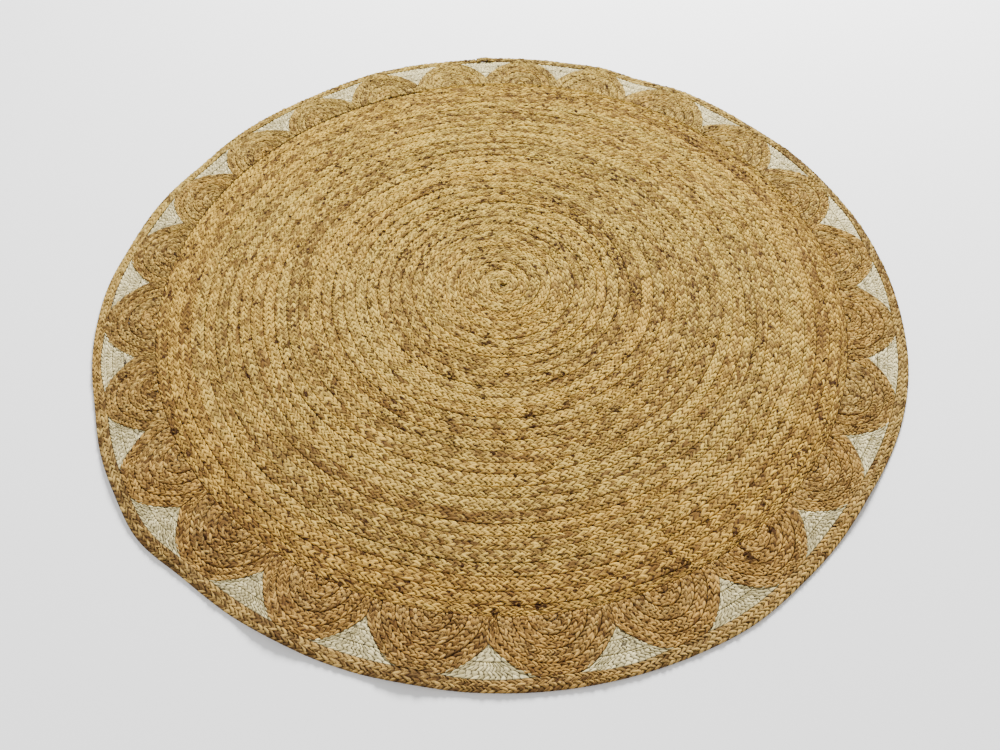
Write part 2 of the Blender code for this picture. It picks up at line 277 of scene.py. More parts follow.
# ---- what the solids give


def smooth(value):
    """0 below 0, 1 above 1, and 3 v^2 - 2 v^3 between."""
    value = np.clip(value, 0.0, 1.0)
    return value * value * (3 - 2 * value)


def plan_of(radius, bearing):
    """Plan places of radii and bearings in degrees."""
    angle = np.radians(bearing)
    return np.stack([radius * np.cos(angle), radius * np.sin(angle)], axis=-1)


def corners_of(node):
    """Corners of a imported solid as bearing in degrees, radius and height."""
    data = frame["nodes"][node].data
    places = np.empty(len(data.vertices) * 3, np.float32)
    data.vertices.foreach_get("co", places)
    x, y, z = places.reshape(-1, 3).astype(float).T
    return np.degrees(np.arctan2(y, x)) % 360, np.hypot(x, y), z


def round_curve(values):
    """A smooth closed curve through equally spaced values: their Fourier series."""
    count = len(values) * FINER
    fine = np.fft.irfft(np.fft.rfft(values), count) * FINER
    bearings = np.arange(count) * 360 / count
    return lambda bearing: np.interp(bearing, bearings, fine, period=360)


def border_curves():
    """Outer radius, inner radius and rise of the rim, as functions of the bearing."""
    bearing, radius, height = corners_of("border")
    steps = len(np.unique(np.round(bearing, 2)))
    index = np.round(bearing * steps / 360).astype(int) % steps
    outer = np.zeros(steps)
    inner = np.full(steps, np.inf)
    foot = np.full(steps, np.inf)
    np.maximum.at(outer, index, radius)
    np.minimum.at(inner, index, radius)
    at_rim = radius > outer[index] - SEAM
    np.minimum.at(foot, index[at_rim], height[at_rim])
    rise = foot / smooth((outer - LIFT_START) / (LIFT_FULL - LIFT_START))
    return round_curve(outer), round_curve(inner), round_curve(rise)


rim_radius, border_inside, rim_rise = border_curves()
DISC_RADIUS = float(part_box("disc")[1].x)


def lift_at(x, y):
    """How far the rug's underside stands off the floor: the rim's rise, faded out inwards."""
    climb = smooth((np.hypot(x, y) - LIFT_START) / (LIFT_FULL - LIFT_START))
    return np.maximum(rim_rise(np.degrees(np.arctan2(y, x))), 0.0) * climb


def tip_of(number):
    """Bearing and radius of a gusset's tip, which lies on the joint between two scallops."""
    bearing, radius, _ = corners_of(f"gusset_{number:02d}")
    nearest = np.argmin(radius)
    return bearing[nearest], radius[nearest]


TIPS = [tip_of(number) for number in range(1, SCALLOPS + 1)]


class Scallop:
    """Outline of one scallop: two quarter ellipses of one depth, each of its own width.

    A place on it lies sin(t) times the width to the side and cos(t) times the depth out from a
    heart on the disc's edge, where t is 0 at the crown. The flanks are flatter than the ellipse by
    half a sine wave.
    """

    def __init__(self, index):
        before = TIPS[index]
        after = TIPS[(index + 1) % SCALLOPS]
        between = (after[0] - before[0]) % 360
        self.half = half = math.radians(between / 2)
        self.middle = before[0] + between / 2
        self.heart = DISC_RADIUS + SEAM
        self.depth = float(border_inside(self.middle)) + SQUEEZE - self.heart
        self.width = {}
        self.joint = {}
        for side, radius in ((-1, before[1]), (1, after[1])):
            across = radius * math.sin(half)
            along = radius * math.cos(half) - self.heart
            self.joint[side] = math.acos(along / (self.depth + SEAM))
            self.width[side] = across / math.sin(self.joint[side]) - SEAM

    def place(self, side, share, t, grow=0.0):
        """Radius and offset in radians of places on the line of a share of the full size."""
        down = np.clip((t - FLANK_START) / (self.joint[side] - FLANK_START), 0, 1)
        grow = grow - FLANK_FLAT * share**3 * np.sin(math.pi * down)
        across = (self.width[side] * share + grow) * np.sin(t)
        along = (self.depth * share + grow) * np.cos(t) + self.heart
        return np.hypot(across, along), np.arctan2(across, along)

    def row_end(self, side, share, grow=0.0, gap=SEAM / 2):
        """Largest t before the line meets the disc's edge or the joint with the next scallop."""
        t = np.linspace(0, 0.6 * math.pi, 1201)
        radius, offset = self.place(side, share, t, grow)
        inside = (radius >= self.heart - 1e-9) & (offset <= self.half - gap / radius)
        return t[np.argmin(inside) - 1] if not inside.all() else t[-1]

    def line(self, share, points=121):
        """Radius and bearing along the line of a share: flat at the border, and straight down to
        the disc from the joint with the next scallop.
        """
        if share == 0:
            return np.full(points, self.heart), np.full(points, self.middle)
        parts = []
        for side in (-1, 1):
            t = np.linspace(0, self.row_end(side, share), 201)
            radius, offset = self.place(side, share, t)
            down = np.linspace(radius[-1], self.heart, 21)[1:]
            radius = np.append(radius, down)
            offset = np.append(offset, offset[-1] + 0 * down)
            moved = np.hypot(np.diff(radius), radius[1:] * np.diff(offset))
            walked = np.concatenate([[0], np.cumsum(moved)])
            steps = np.linspace(0, walked[-1], points // 2 + 1)
            radius, offset = np.interp(steps, walked, radius), np.interp(steps, walked, offset)
            parts.append((radius, self.middle + side * np.degrees(offset)))
        radius = np.concatenate([parts[0][0][::-1], parts[1][0][1:]])
        bearing = np.concatenate([parts[0][1][::-1], parts[1][1][1:]])
        return np.minimum(radius, border_inside(bearing) + PRESSED), bearing


# ---- plaits


def slow_noise(rng, places, kind):
    """Random values of a given spread that change smoothly from one spacing to the next."""
    spread, spacing = kind
    knots = rng.normal(0, 1, int(places.max() / spacing) + 4)
    where = places / spacing
    left = np.floor(where).astype(int)
    share = smooth(where - left)
    return spread * (knots[left] * (1 - share) + knots[left + 1] * share)


def fleck_share(x, y):
    """How common flecks are: a table over the radius, and up to three fifths more far off."""
    radius = np.hypot(x, y)
    far = 1 + 0.6 * y / np.maximum(radius, 0.1)
    return np.interp(radius, FLECK_RADII, FLECK_SHARES) * far


def plait_grid(
    inner, outer, seed, pitch, crest, crease, slant, flecks, plaits=2, foot=None, thin=None
):
    """Corners and surface values of flat three-strand plaits side by side between two edge lines.

    A grid row has one phase p, in pitches. A column has a share t of its plait's half width, from
    -1 to 1, and a row lies there at the length (p - slant (0.55 |t| + 0.45 t^2)) pitch, so it
    makes a V with bent arms. The two halves of a plait are its lanes: the lobes of the left one
    have their creases at whole phases and those of the right one at half phases, each a little
    early or late. Along its share f of the phase a lobe is (1 - (|2 f - 1| / w)^2.4)^0.7 high,
    where w narrows it at both ends, times a rounding across the lane. On the strip's outer lines
    that height h becomes 0.4 + 0.4 h, so that rows meet. The top is
    crest - crease (1 - h) - crown s^2, with s from -1 to 1 over the whole strip. The middle of
    each plait sways to the side by the cosine of the phase.
    """
    rng = np.random.default_rng(seed)
    steps = np.hypot(*np.diff((inner + outer) / 2, axis=0).T)
    length = np.concatenate([[0.0], np.cumsum(steps)])
    count = max(2, round(length[-1] / pitch))
    phase = np.arange(count * ROWS + 1) / ROWS
    ramp = min(END_PITCHES, count / 2)
    square = smooth(np.minimum(phase, count - phase) / ramp)[:, None]

    lanes = 2 * plaits
    column = np.arange(plaits * CELLS + 1)
    left = np.maximum((column - 1) // LANE, 0)
    right = np.minimum(column // LANE, lanes - 1)
    local = np.append(np.tile(PLAIT_COLUMNS[:-1], plaits), 1.0)
    share = np.abs(local)
    which = np.minimum(column // CELLS, plaits - 1)
    across = (which + (local + 1) / 2) / plaits
    start = rng.integers(0, ROWS, plaits) / ROWS
    turn = phase[:, None] + np.repeat(start, 2) + np.tile([0.0, 0.5], plaits)
    lobe = np.floor(turn + 1e-6).astype(int)
    part = turn - lobe
    chance = rng.normal(0, 1, (6, lanes, count + 4))[:, np.arange(lanes), lobe]
    wider, higher, tilted, aside, tone, hue = chance
    chance = rng.random((3, lanes, count + 4))[:, np.arange(lanes), lobe]
    fleck_lot, fleck_place, fleck_depth = chance

    def shared(values):
        """Lane values at the columns: the mean of both lanes where two of them meet."""
        return (values[..., left] + values[..., right]) / 2

    early = [
        np.interp(turn[:, k], np.arange(-1, count + 4), rng.normal(0, LOOSE, count + 5))
        + slow_noise(rng, phase, LANE_EARLY)
        for k in range(lanes)
    ]
    shift = shared(np.stack(early, axis=1)) * square
    lean = min(slant, 0.55 * ramp) * (0.55 * share + 0.45 * share**2) * square
    moved = (phase + square[:, 0] * slow_noise(rng, phase, ROW_SHIFT))[:, None]
    along = np.clip((moved + shift - lean) * length[-1] / count, 0, length[-1])

    width, height = (np.interp(share, *np.array(table).T) for table in (LOBE_WIDTH, LOBE_RISE))

    def hump_of(lane):
        """Height of the lobes of a lane for each column, 1 on a lobe's back."""
        slim = width * (1 + WIDTH_VARIES * np.clip(wider[:, lane], -2, 1.5))
        rise = 1 - np.minimum(np.abs(2 * part[:, lane] - 1) / slim, 1) ** LOBE_BACK
        uneven = HEIGHT_VARIES * np.clip(higher[:, lane], -2, 2)
        uneven = uneven + TILT_VARIES * np.clip(tilted[:, lane], -2, 2) * (share - 0.5)
        return rise**LOBE_ROUND * height * (1 + uneven)

    hump = np.clip((hump_of(left) + hump_of(right)) / 2, 0, 1.3)
    hump[:, [0, -1]] = EDGE_HUMP + EDGE_HUMP * hump[:, [0, -1]]
    strays = SIDE_VARIES * shared(np.clip(aside, -1, 1)) * share * (1 - share)
    sway = -SWAY * np.cos(2 * math.pi * (phase[:, None] + start[which])) * (1 - share) ** 2
    wander = slow_noise(rng, phase, WANDER)[:, None] * (1 - (2 * across - 1) ** 2)
    place = across + (strays + sway) / lanes + wander
    low, high = (
        np.stack([np.interp(along, length, edge[:, i]) for i in (0, 1)], axis=-1)
        for edge in (inner, outer)
    )
    plan = low * (1 - place[..., None]) + high * place[..., None]

    bed = 1 + slow_noise(rng, phase, BED)
    walked = phase / count * length[-1]
    body = 1.0 if thin is None else np.interp(walked, *thin)
    raised = np.zeros_like(phase) if foot is None else np.interp(walked, *foot)
    top = (crest * bed * body)[:, None] - crease * (1 - hump) - CROWN * (2 * across - 1) ** 2
    z = lift_at(plan[..., 0], plan[..., 1]) + raised[:, None] + top

    ends = slice(None, None, ROWS)
    under = ((1 + np.array([-1, 1]) * FOOT_SHARE) / 2)[None, :, None]
    base = low[ends][:, [0, -1]] * (1 - under) + high[ends][:, [0, -1]] * under
    base_z = lift_at(base[..., 0], base[..., 1]) + raised[ends][:, None]

    run = smooth((slow_noise(rng, phase, FLECK_RUN) - 1.0) / 0.6)[:, None]
    x, y = (np.interp(along[:, LANE], length, (inner + outer)[:, i] / 2) for i in (0, 1))
    often = flecks * fleck_share(x, y)[:, None] * (1 + RUN_GAIN * run)
    marked = np.where(fleck_lot < often, 0.4 + 0.6 * fleck_depth, 0.0)
    spot = np.clip(1.3 - np.abs(share - fleck_place[:, right]) / 0.5, 0, 1)
    fleck = shared(marked) * spot
    for bearing, radius, reach, depth in DARK_MARKS:
        x, y = plan_of(radius, bearing)
        far = np.hypot(plan[..., 0] - x, plan[..., 1] - y) / reach
        fleck = np.maximum(fleck, depth * (1 - smooth((far - 0.4) / 0.6)))
    drift = np.stack([slow_noise(rng, phase, LANE_TONE) for _ in range(lanes)], axis=1)
    return dict(
        count=count,
        phase=phase,
        step=length[-1] / count,
        local=local,
        turned=start,
        across=2 * across - 1,
        top=np.dstack([plan, z]),
        base=np.dstack([base, base_z]),
        lobe_tone=shared(tone),
        yarn_tone=slow_noise(rng, phase, YARN_TONE)[:, None] + 0.4 * shared(drift),
        yarn_hue=slow_noise(rng, phase, YARN_HUE)[:, None] + 0.7 * shared(hue),
        fleck=fleck,
        start=rng.uniform(0, 4),
    )


def towards(grid, bearing):
    """How far the grid's places lie out in the direction of a bearing."""
    return grid["top"][..., :2] @ plan_of(1.0, bearing)


def side_light_tone(grid, sides):
    """Painted light and shade by side: changes of tone that are whole at the rim on their bearings
    and begin 30 cm out.
    """
    return sum(change * smooth((towards(grid, bearing) - 0.3) / 0.4) for bearing, change in sides)


def ridge_share(grid):
    """How far the disc's rows stand out, as a column: in depth between them and in painted light.

    Most on the left, where (y - 1.7 x) / 2 passes 5 cm, within 60 cm of the heart and no nearer
    than 30 cm. Less round the heart and on the near side, least on the right, with slow waves.
    """
    x, y = grid["top"][:, CELLS, :2].T
    radius = np.hypot(x, y)
    left = smooth((0.5 * y - 0.85 * x - 0.05) / 0.16)
    left = left * smooth((0.60 - radius) / 0.12) * smooth((y + 0.30) / 0.2)
    heart = (0.2 + 0.4 * smooth((radius - 0.03) / 0.1)) * smooth((0.34 - radius) / 0.15)
    near = 0.45 * smooth(-y / 0.25)
    waves = slow_noise(np.random.default_rng(SEEDS["ridges"]), grid["phase"], RIDGE_WAVES)
    share = np.maximum(np.maximum(left, heart), np.maximum(near, 0.15)) + waves
    return np.clip(share, 0.0, 1.2)[:, None]


def plait_piece(grid, first=0, last=None):
    """The closed surface of some pitches of a strip: top, two walls, flat underside and two ends.

    Along the foot there is one corner a pitch. For the maps, each corner of a face carries its
    phase, its shares of the plait's and of the strip's half width, and its lane's side.
    """
    last = grid["count"] if last is None else last
    rows = (last - first) * ROWS + 1
    columns = len(grid["local"])
    span = slice(first * ROWS, last * ROWS + 1)
    top = grid["top"][span].reshape(-1, 3)
    base = grid["base"][first : last + 1].reshape(-1, 3)
    under = len(top)
    phase = grid["phase"][span]
    whole = np.arange(first, last + 1, dtype=float)
    outermost = (columns - 1) // LANE - 1

    i, c = np.meshgrid(np.arange(rows - 1), np.arange(columns - 1), indexing="ij")
    i, c = i.ravel(), c.ravel()
    corner = i * columns + c
    quads = np.stack([corner, corner + 1, corner + columns + 1, corner + columns], 1)
    kinds = [(quads, c // LANE, i // ROWS)]

    def foot(q, edge):
        return under + 2 * q + edge

    q2 = np.arange(last - first)
    for edge, column, lane in ((1, columns - 1, outermost), (0, 0, 0)):
        i = np.arange(rows - 1)
        q = i // ROWS
        near = foot(q + (i % ROWS >= ROWS // 2), edge)
        fan = np.stack([i * columns + column, near, (i + 1) * columns + column], 1)
        half_way = (q2 * ROWS + ROWS // 2) * columns + column
        wedge = np.stack([foot(q2, edge), foot(q2 + 1, edge), half_way], 1)
        for faces, cell in ((fan, q), (wedge, q2)):
            faces = faces if edge else faces[:, ::-1]
            kinds.append((faces, np.full(len(faces), lane), cell))
    floor = np.stack([foot(q2, 0), foot(q2 + 1, 0), foot(q2 + 1, 1), foot(q2, 1)], 1)
    kinds.append((floor, np.full(len(floor), outermost), q2))

    c = np.arange(columns - 1)
    for row, q, forward in ((0, 0, False), (rows - 1, last - first, True)):
        edge = (c >= columns // 2).astype(int)
        fan = np.stack([row * columns + c, row * columns + c + 1, foot(q, edge)], 1)
        wedge = np.array([[row * columns + columns // 2, foot(q, 1), foot(q, 0)]])
        faces = np.concatenate([fan, wedge])
        faces = faces if forward else faces[:, ::-1]
        cell = min(q, last - first - 1)
        kinds.append((faces, np.append(c // LANE, outermost), np.full(len(faces), cell)))

    loops = np.concatenate([faces.ravel() for faces, _, _ in kinds])
    sizes = np.concatenate([np.full(len(faces), faces.shape[1]) for faces, _, _ in kinds])
    lanes, cells = (
        np.concatenate([np.repeat(kind[k], kind[0].shape[1]) for kind in kinds]) for k in (1, 2)
    )
    phases = np.append(np.repeat(phase, columns), np.repeat(whole, 2))[loops]
    walls = np.tile([-1.5, 1.5], len(whole))
    shares, across = (
        np.append(np.tile(grid[name], rows), walls)[loops] for name in ("local", "across")
    )
    beyond = (loops < under) & (loops % columns == (lanes // 2 + 1) * CELLS)
    shares[beyond] = 1.0
    values = {
        name: np.append(grid[name][span].ravel(), np.zeros(len(base)))
        for name in ("lobe_tone", "yarn_tone", "yarn_hue", "fleck")
    }
    values["underside"] = (np.arange(under + len(base)) >= under).astype(float)
    return dict(
        points=np.concatenate([top, base]),
        loops=loops,
        sizes=sizes,
        flat=np.arange(len(sizes)) >= len(quads),
        sides=lanes % 2,
        cells=cells,
        phases=phases,
        turns=phases + grid["turned"][lanes // 2],
        shares=shares,
        across=across,
        whole=cells + first,
        step=np.full(len(loops), grid["step"]),
        start=np.full(len(loops), grid["start"]),
        pitches=last - first,
        values=values,
    )


def joined(pieces):
    """Several strips as one set of arrays, each with its own cells in the bake map."""
    whole = {
        name: np.concatenate([piece[name] for piece in pieces])
        for name, value in pieces[0].items()
        if isinstance(value, np.ndarray)
    }
    start = np.cumsum([0] + [len(piece["points"]) for piece in pieces])
    cell = np.cumsum([0] + [piece["pitches"] for piece in pieces])
    whole["loops"] = np.concatenate([piece["loops"] + k for piece, k in zip(pieces, start)])
    whole["cells"] = np.concatenate([piece["cells"] + k for piece, k in zip(pieces, cell)])
    whole["pitches"] = int(cell[-1])
    whole["values"] = {
        name: np.concatenate([piece["values"][name] for piece in pieces])
        for name in pieces[0]["values"]
    }
    return whole


def strand_map(strip, half_width, slant):
    """Map along and across the strands, in metres: across grows with the phase, along from the
    middle to the edge and slowly with the phase, which gives the fibres the yarn's twist.
    """
    turn = strip["turns"] + 0.5 * strip["sides"]
    reach = np.hypot(half_width, slant * strip["step"])
    along = np.abs(strip["shares"]) * reach + turn * YARN_TWIST
    across = turn * strip["step"] * half_width / reach
    return np.stack([along + strip["start"], across + strip["start"] * 3], axis=1)


def bake_map(strip):
    """Map for baking: the strip in lengths, one above the other in a square, a cell a pitch.

    The top takes the lower seven tenths of the cell, the walls and the underside the rest.
    """
    per_line = math.ceil(math.sqrt(2.4 * strip["pitches"]))
    lines = math.ceil(strip["pitches"] / per_line)
    column = strip["cells"] % per_line
    line = strip["cells"] // per_line
    share = strip["across"]
    middle, half = np.where(np.abs(share)[:, None] > 1, LOW_BAND, TOP_BAND).T
    v = middle + share * half
    u = column + CELL_MARGIN + (1 - 2 * CELL_MARGIN) * (strip["phases"] - strip["whole"])
    return np.stack([u / per_line, (line + v) / lines], axis=1)


def make_piece(name, strip, node, material, slant, width, length):
    """The mesh object of some strips, with its values, maps and material, riding on the rug.

    It is declared as the flat pair of plaits that it was sewn from, a little wider and longer.
    """
    mesh = bpy.data.meshes.new(name)
    mesh.vertices.add(len(strip["points"]))
    mesh.vertices.foreach_set("co", strip["points"].astype(np.float32).ravel())
    mesh.loops.add(len(strip["loops"]))
    mesh.loops.foreach_set("vertex_index", strip["loops"].astype(np.int32))
    mesh.polygons.add(len(strip["sizes"]))
    starts = np.concatenate([[0], np.cumsum(strip["sizes"])[:-1]])
    mesh.polygons.foreach_set("loop_start", starts.astype(np.int32))
    mesh.polygons.foreach_set("loop_total", strip["sizes"].astype(np.int32))
    mesh.update(calc_edges=True)
    mesh.validate()
    mesh.polygons.foreach_set("use_smooth", ~strip["flat"])
    for value_name, values in strip["values"].items():
        attribute = mesh.attributes.new(value_name, "FLOAT", "POINT")
        attribute.data.foreach_set("value", values.astype(np.float32))
    maps = {
        "Strand": strand_map(strip, width / 4, slant),
        "Lobe": np.stack([strip["turns"], strip["shares"]], axis=1),
        "OFBake": bake_map(strip),
    }
    for map_name, places in maps.items():
        layer = mesh.uv_layers.new(name=map_name)
        layer.data.foreach_set("uv", places.astype(np.float32).ravel())
    mesh.uv_layers.active_index = 0
    mesh.materials.append(material)
    piece = bpy.data.objects.new(name, mesh)
    bpy.context.scene.collection.objects.link(piece)
    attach(piece, BODY)
    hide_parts(node)
    width, length = width * SEWN_TIGHT, length * SEWN_TIGHT


def sector_piece(kind, index, grids, slot, material, slant, width):
    """The scallop or gusset of an index, from the grids of its rows."""
    strip = joined([plait_piece(grid) for grid in grids])
    length = sum(grid["count"] * grid["step"] for grid in grids)
    name, node = (f"{part}_{index + 1:02d}" for part in (f"{kind}_plait", kind))
    make_piece(name, strip, node, material, slant, width, length)


# ---- materials


def feed(tree, sockets, values):
    """Gives sockets, by name or number, a number, a colour or another node's output."""
    for key, value in values.items():
        socket = sockets[key]
        if isinstance(value, (int, float)):
            socket.default_value = value
        elif isinstance(value, tuple):
            socket.default_value = (*value, 1.0)[: len(socket.default_value)]
        else:
            tree.links.new(value, socket)


def put(tree, kind, values=None, **settings):
    """A node of a tree with the values of some sockets and some of its settings."""
    node = tree.nodes.new(kind)
    for name, value in settings.items():
        setattr(node, name, value)
    feed(tree, node.inputs, values or {})
    return node


def mix_of(tree, factor, first, second, blend="MIX"):
    """Mix of two colours."""
    values = {0: factor, 6: first, 7: second}
    return put(tree, "ShaderNodeMix", values, data_type="RGBA", blend_type=blend).outputs[2]


def math_of(tree, operation, *values, clamp=False):
    """A maths node over sockets and numbers."""
    values = dict(enumerate(values))
    return put(tree, "ShaderNodeMath", values, operation=operation, use_clamp=clamp).outputs[0]


def range_of(tree, value, low, high, to_low=0.0, to_high=1.0):
    """A value mapped from one range to another and held in it."""
    names = ("Value", "From Min", "From Max", "To Min", "To Max")
    values = dict(zip(names, (value, low, high, to_low, to_high)))
    return put(tree, "ShaderNodeMapRange", values).outputs["Result"]


def map_of(tree, name):
    """A map of the mesh."""
    return put(tree, "ShaderNodeUVMap", uv_map=name).outputs["UV"]


def value_of(tree, name):
    """A value that the mesh carries."""
    return put(tree, "ShaderNodeAttribute", attribute_name=name).outputs["Fac"]


def fibre_noise(tree, stretch):
    """Noise drawn out along the strands."""
    drawn = put(tree, "ShaderNodeMapping", {"Vector": map_of(tree, "Strand"), "Scale": stretch})
    values = {"Vector": drawn.outputs[0], "Scale": 1.0, "Detail": 2.0, "Roughness": 0.6}
    return put(tree, "ShaderNodeTexNoise", values, noise_dimensions="2D").outputs["Fac"]


def lobe_shape(tree):
    """How near the crease round its lobe a place is: 0 on the lobe's back, 1 in the crease.

    The left lobes' creases lie at whole phases and the right ones' at half phases. On the flat
    underside the phase first leans back by four tenths of a pitch from the middle to the edge. A
    lobe narrows towards both its ends, and a crease also runs along the middle and the edges of
    the plait. The value masks the painted shade in the creases and the dips of the bump.
    """
    lobe = put(tree, "ShaderNodeSeparateXYZ", {0: map_of(tree, "Lobe")}).outputs
    phase, share = lobe["X"], lobe["Y"]
    right = math_of(tree, "GREATER_THAN", share, 0.0)
    out = math_of(tree, "ABSOLUTE", share)
    lean = math_of(tree, "MULTIPLY", out, value_of(tree, "underside"))
    turn = math_of(tree, "MULTIPLY_ADD", right, 0.5, phase)
    turn = math_of(tree, "MULTIPLY_ADD", lean, -0.4, turn)
    part = math_of(tree, "FRACT", turn)
    part = math_of(tree, "ABSOLUTE", math_of(tree, "MULTIPLY_ADD", part, 2.0, -1.0))
    inner = range_of(tree, out, 0.0, 0.42, 0.42, 0.0)
    outer = range_of(tree, out, 0.62, 1.05, 0.0, 0.38)
    width = math_of(tree, "SUBTRACT", math_of(tree, "SUBTRACT", 1.0, inner), outer)
    between = math_of(tree, "DIVIDE", part, width)
    middle = range_of(tree, out, 0.0, 0.25, 0.75, 0.35)
    edge = math_of(tree, "ABSOLUTE", math_of(tree, "SUBTRACT", out, 1.0))
    edge = range_of(tree, edge, 0.0, 0.22, 0.74, 0.35)
    return math_of(tree, "MAXIMUM", between, math_of(tree, "MAXIMUM", middle, edge))


def yarn_group():
    """Node group of plaited yarn: colour, roughness and height from fibres, creases and flecks.

    Fine and coarse fibre noise and the tones of lobe and yarn choose between the dark and the
    light colour; the yarn tone also carries painted light and shade. Patches and a painted light
    tint by the side of the rug tint it; painted shade in the creases and flecks darken it.
    """
    tree = bpy.data.node_groups.new("Plaited Yarn", "ShaderNodeTree")
    for direction, kind, names in (
        ("INPUT", "NodeSocketColor", ("Light", "Dark", "Crease", "Fleck", "Warm")),
        ("INPUT", "NodeSocketFloat", ("Warmth", "Contrast", "Side Tint")),
        ("OUTPUT", "NodeSocketColor", ("Colour",)),
        ("OUTPUT", "NodeSocketFloat", ("Roughness", "Height")),
    ):
        for name in names:
            tree.interface.new_socket(name=name, in_out=direction, socket_type=kind)
    given = put(tree, "NodeGroupInput").outputs
    place = put(tree, "ShaderNodeTexCoord").outputs["Object"]
    fine = fibre_noise(tree, FINE_FIBRES)
    fibres = math_of(tree, "ADD", fibre_noise(tree, COARSE_FIBRES), fine)
    crease = lobe_shape(tree)

    # Light and dark fibres
    light = range_of(tree, fibres, 0.75, 1.25, -0.42, 0.42)
    light = math_of(tree, "MULTIPLY_ADD", value_of(tree, "lobe_tone"), 0.34, light)
    # The yarn tone also carries painted light and shade by side and on the disc's ridges
    light = math_of(tree, "MULTIPLY_ADD", value_of(tree, "yarn_tone"), 0.20, light)
    light = math_of(tree, "MULTIPLY_ADD", light, given["Contrast"], 0.5, clamp=True)
    colour = mix_of(tree, light, given["Dark"], given["Light"])

    # Warmer patches and lobes, and the scallops' painted light on their near and far sides
    values = {"Vector": place, "Scale": PATCHES, "Detail": 3.0}
    patches = put(tree, "ShaderNodeTexNoise", values).outputs["Fac"]
    warm = range_of(tree, patches, 0.36, 0.66, 0.2, 0.65)
    warm = math_of(tree, "MULTIPLY_ADD", value_of(tree, "yarn_hue"), 0.38, warm, clamp=True)
    warm = math_of(tree, "MULTIPLY", warm, given["Warmth"])
    colour = mix_of(tree, warm, colour, given["Warm"], "MULTIPLY")

    # Near and far side: a painted light tint, redder on the shaded near side and yellower on the
    # lit far side
    sides = put(tree, "ShaderNodeSeparateXYZ", {0: place}).outputs
    tint = mix_of(tree, range_of(tree, sides["Y"], -0.75, 0.75), NEAR_SHADE_TINT, FAR_LIGHT_TINT)
    colour = mix_of(tree, given["Side Tint"], colour, tint, "MULTIPLY")

    # Painted shade in the creases, ragged by the fibres: a soft shade and a dark line in it
    ragged = math_of(tree, "MULTIPLY_ADD", fibres, -0.25, crease)
    shade = range_of(tree, ragged, 0.20, 0.80, 0.0, 0.45)
    line = range_of(tree, ragged, 0.54, 0.66, 0.0, 0.9)
    colour = mix_of(tree, math_of(tree, "MAXIMUM", shade, line), colour, given["Crease"])

    # Flecks: cells that a lobe's fleck value or a listed dark mark draws, each with a depth of its
    # own
    values = {"Vector": place, "Scale": SPECKS}
    specks = put(tree, "ShaderNodeTexVoronoi", values, voronoi_dimensions="2D").outputs
    lots = put(tree, "ShaderNodeSeparateColor", {0: specks["Color"]}).outputs
    chosen = math_of(tree, "MULTIPLY_ADD", lots["Red"], -0.6, value_of(tree, "fleck"))
    chosen = range_of(tree, chosen, -0.04, 0.04)
    near = range_of(tree, specks["Distance"], 0.50, 0.60, 1.0, 0.0)
    deep = range_of(tree, lots["Green"], 0.0, 1.0, 0.72, 1.0)
    speck = math_of(tree, "MULTIPLY", math_of(tree, "MULTIPLY", chosen, near), deep)
    colour = mix_of(tree, speck, colour, given["Fleck"])

    rough = range_of(tree, fine, 0.3, 0.7, 0.94, 0.80)
    dip = math_of(tree, "MULTIPLY", math_of(tree, "MINIMUM", crease, 1.2), -1.2)
    height = math_of(tree, "MULTIPLY_ADD", dip, 0.6, fibres)
    put(tree, "NodeGroupOutput", {"Colour": colour, "Roughness": rough, "Height": height})
    return tree


def yarn_material(name, light, fibre, warmth, contrast, bump=JUTE_BUMP, side_light_tint=1.0):
    """A Principled material whose colour, roughness and bump come from the yarn group."""
    colours = bpy.context.scene.rug_colours
    light, dark = (tuple(getattr(colours, shade)) for shade in (light, light + "_dark"))
    material = bpy.data.materials.new(name)
    material.use_nodes = True
    material.diffuse_color = (*light, 1.0)
    tree = material.node_tree
    shader = tree.nodes["Principled BSDF"]
    yarn = bpy.data.node_groups.get("Plaited Yarn") or yarn_group()
    group = put(tree, "ShaderNodeGroup", node_tree=yarn)
    values = {"Warmth": warmth, "Contrast": contrast, "Side Tint": side_light_tint}
    feed(tree, group.inputs, {"Light": light, "Dark": dark, **fibre, **values})
    made = group.outputs
    values = {"Distance": bump, "Strength": 0.8, "Height": made["Height"]}
    normal = put(tree, "ShaderNodeBump", values).outputs["Normal"]
    values = {"Base Color": made["Colour"], "Roughness": made["Roughness"], "Normal": normal}
    feed(tree, shader.inputs, {**values, "Specular IOR Level": 0.15})
    return material


# ---- operators


